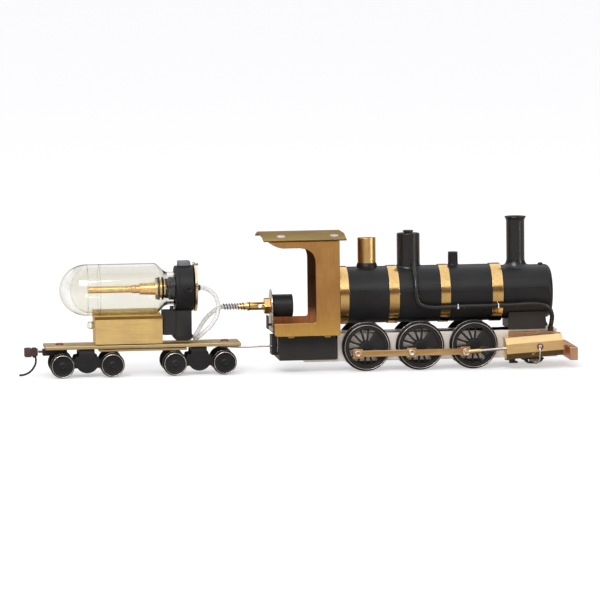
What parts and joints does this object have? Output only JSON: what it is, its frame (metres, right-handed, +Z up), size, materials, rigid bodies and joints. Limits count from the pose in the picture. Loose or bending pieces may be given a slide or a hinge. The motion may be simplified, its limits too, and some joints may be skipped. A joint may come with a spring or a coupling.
{
  "type": "model train",
  "caption": "Live-steam model locomotive with cab, banded boiler, oscillating cylinders and coupled wheels, drawing a flat bogie tender with a glass gas bottle.",
  "frame": {"origin": "on the rail-head plane below the wheel flanges, at the centre of the train's length and width", "axes": "+X to the locomotive's front, -Y the near side, +Z up"},
  "size_m": [0.22, 0.0344, 0.0595],
  "materials": {
    "black_paint": "satin black paint",
    "cast_black": "blackened wheel casting",
    "black_plastic": "matte moulded black",
    "blackened_steel": "blackened steel",
    "brushed_brass": "brushed sheet brass, slightly tarnished",
    "polished_brass": "polished turned brass",
    "copper": "copper-brown oxidised bar",
    "aluminium": "milled",
    "steel": "bright drawn steel",
    "bottle_glass": "clear glass with a faint yellow tint",
    "silicone": "translucent white silicone"
  },
  "bodies": {
    "locomotive": {"main_frame": "aluminium", "boiler_shell": "black_paint", "boiler_ring_rear": "polished_brass", "boiler_band_1": "polished_brass", "boiler_band_2": "polished_brass", "boiler_band_3": "polished_brass", "smokebox": "black_paint", "chimney": "black_paint", "steam_dome": "black_paint", "safety_valve_stack": "brushed_brass", "whistle_stub": "black_paint", "smokebox_saddle": "black_paint", "cab_front": "brushed_brass", "cab_roof": "brushed_brass", "firebox_case": "black_paint", "drawbar_bracket": "black_paint", "burner_plate": "steel", "burner_body": "black_paint", "gas_jet": "polished_brass", "hose_spring": "steel", "buffer_beam": "copper", "cab_side_near": "brushed_brass", "cab_side_far": "brushed_brass", "steam_pipe_near": "black_paint", "steam_pipe_far": "black_paint", "port_block_near": "copper", "port_block_far": "copper"},
    "rear_wheels": {"rear_axle": "steel", "rear_driver_near": "cast_black", "rear_driver_far": "cast_black"},
    "middle_wheels": {"middle_axle": "steel", "middle_driver_near": "cast_black", "middle_driver_far": "cast_black"},
    "front_wheels": {"front_axle": "steel", "front_driver_near": "cast_black", "front_driver_far": "cast_black"},
    "side_rod_near": {"side_rod_near": "brushed_brass"},
    "cylinder_near": {"cylinder_near": "brushed_brass"},
    "piston_rod_near": {"piston_rod_near": "steel"},
    "side_rod_far": {"side_rod_far": "brushed_brass"},
    "cylinder_far": {"cylinder_far": "brushed_brass"},
    "piston_rod_far": {"piston_rod_far": "steel"},
    "tender": {"tender_deck": "brushed_brass", "stiffener_plate": "brushed_brass", "tank_box": "brushed_brass", "glass_bottle": "bottle_glass", "dip_tube": "polished_brass", "clamp_ring": "black_plastic", "valve_disc": "polished_brass", "support_column": "black_plastic", "gas_hose": "silicone", "drawbar": "steel", "coupler_pocket": "black_plastic"},
    "coupler": {"coupler": "blackened_steel"},
    "rear_truck": {"rear_truck_frame": "black_plastic"},
    "rear_truck_wheelset_rear": {"rear_truck_wheelset_rear": "cast_black"},
    "rear_truck_wheelset_front": {"rear_truck_wheelset_front": "cast_black"},
    "front_truck": {"front_truck_frame": "black_plastic"},
    "front_truck_wheelset_rear": {"front_truck_wheelset_rear": "cast_black"},
    "front_truck_wheelset_front": {"front_truck_wheelset_front": "cast_black"}
  },
  "joints": [
    {"name": "front_axle_spin", "type": "hinge", "parent": "locomotive", "child": "front_wheels", "pos_m": [0.0694, 0, 0.00965], "axis": [0, 1, 0], "continuous": true},
    {"name": "rear_axle_spin", "type": "hinge", "parent": "locomotive", "child": "rear_wheels", "pos_m": [0.0266, 0, 0.00965], "axis": [0, 1, 0], "continuous": true},
    {"name": "middle_axle_spin", "type": "hinge", "parent": "locomotive", "child": "middle_wheels", "pos_m": [0.048, 0, 0.00965], "axis": [0, 1, 0], "continuous": true},
    {"name": "side_rod_near_pivot", "type": "hinge", "parent": "front_wheels", "child": "side_rod_near", "pos_m": [0.06558, -0.01115, 0.00726], "axis": [0, 1, 0], "continuous": true},
    {"name": "cylinder_near_swing", "type": "hinge", "parent": "locomotive", "child": "cylinder_near", "pos_m": [0.0945, -0.0086, 0.0091], "axis": [0, 1, 0], "range_deg": [-5.4, 15.2]},
    {"name": "piston_rod_near_slide", "type": "slide", "parent": "cylinder_near", "child": "piston_rod_near", "axis": [0.998, 0, 0.0633], "range_m": [-0.00063, 0.00837]},
    {"name": "side_rod_far_pivot", "type": "hinge", "parent": "front_wheels", "child": "side_rod_far", "pos_m": [0.07179, 0.01115, 0.00583], "axis": [0, 1, 0], "continuous": true},
    {"name": "cylinder_far_swing", "type": "hinge", "parent": "locomotive", "child": "cylinder_far", "pos_m": [0.0945, 0.0086, 0.0091], "axis": [0, 1, 0], "range_deg": [-0.9, 19.8]},
    {"name": "piston_rod_far_slide", "type": "slide", "parent": "cylinder_far", "child": "piston_rod_far", "axis": [0.9898, 0, 0.1423], "range_m": [-0.00666, 0.00234]},
    {"name": "tender_swing", "type": "hinge", "parent": "locomotive", "child": "tender", "pos_m": [-0.0094, 0, 0.01], "axis": [0, 0, 1], "range_deg": [-12, 12]},
    {"name": "rear_truck_swivel", "type": "hinge", "parent": "tender", "child": "rear_truck", "pos_m": [-0.0836, 0, 0.0108], "axis": [0, 0, 1], "range_deg": [-10, 10]},
    {"name": "rear_truck_rear_spin", "type": "hinge", "parent": "rear_truck", "child": "rear_truck_wheelset_rear", "pos_m": [-0.0934, 0, 0.00485], "axis": [0, 1, 0], "continuous": true},
    {"name": "rear_truck_front_spin", "type": "hinge", "parent": "rear_truck", "child": "rear_truck_wheelset_front", "pos_m": [-0.0738, 0, 0.00485], "axis": [0, 1, 0], "continuous": true},
    {"name": "front_truck_swivel", "type": "hinge", "parent": "tender", "child": "front_truck", "pos_m": [-0.0394, 0, 0.0108], "axis": [0, 0, 1], "range_deg": [-10, 10]},
    {"name": "front_truck_rear_spin", "type": "hinge", "parent": "front_truck", "child": "front_truck_wheelset_rear", "pos_m": [-0.0492, 0, 0.00485], "axis": [0, 1, 0], "continuous": true},
    {"name": "front_truck_front_spin", "type": "hinge", "parent": "front_truck", "child": "front_truck_wheelset_front", "pos_m": [-0.0296, 0, 0.00485], "axis": [0, 1, 0], "continuous": true},
    {"name": "coupler_swing", "type": "hinge", "parent": "tender", "child": "coupler", "pos_m": [-0.0939, 0, 0.0099], "axis": [0, 0, 1], "range_deg": [-10, 10]}
  ],
  "couplings": [
    {"joint": "rear_axle_spin", "follows": "front_axle_spin", "ratio": 1},
    {"joint": "middle_axle_spin", "follows": "front_axle_spin", "ratio": 1},
    {"joint": "side_rod_near_pivot", "follows": "front_axle_spin", "ratio": -1},
    {"joint": "side_rod_far_pivot", "follows": "front_axle_spin", "ratio": -1}
  ]
}
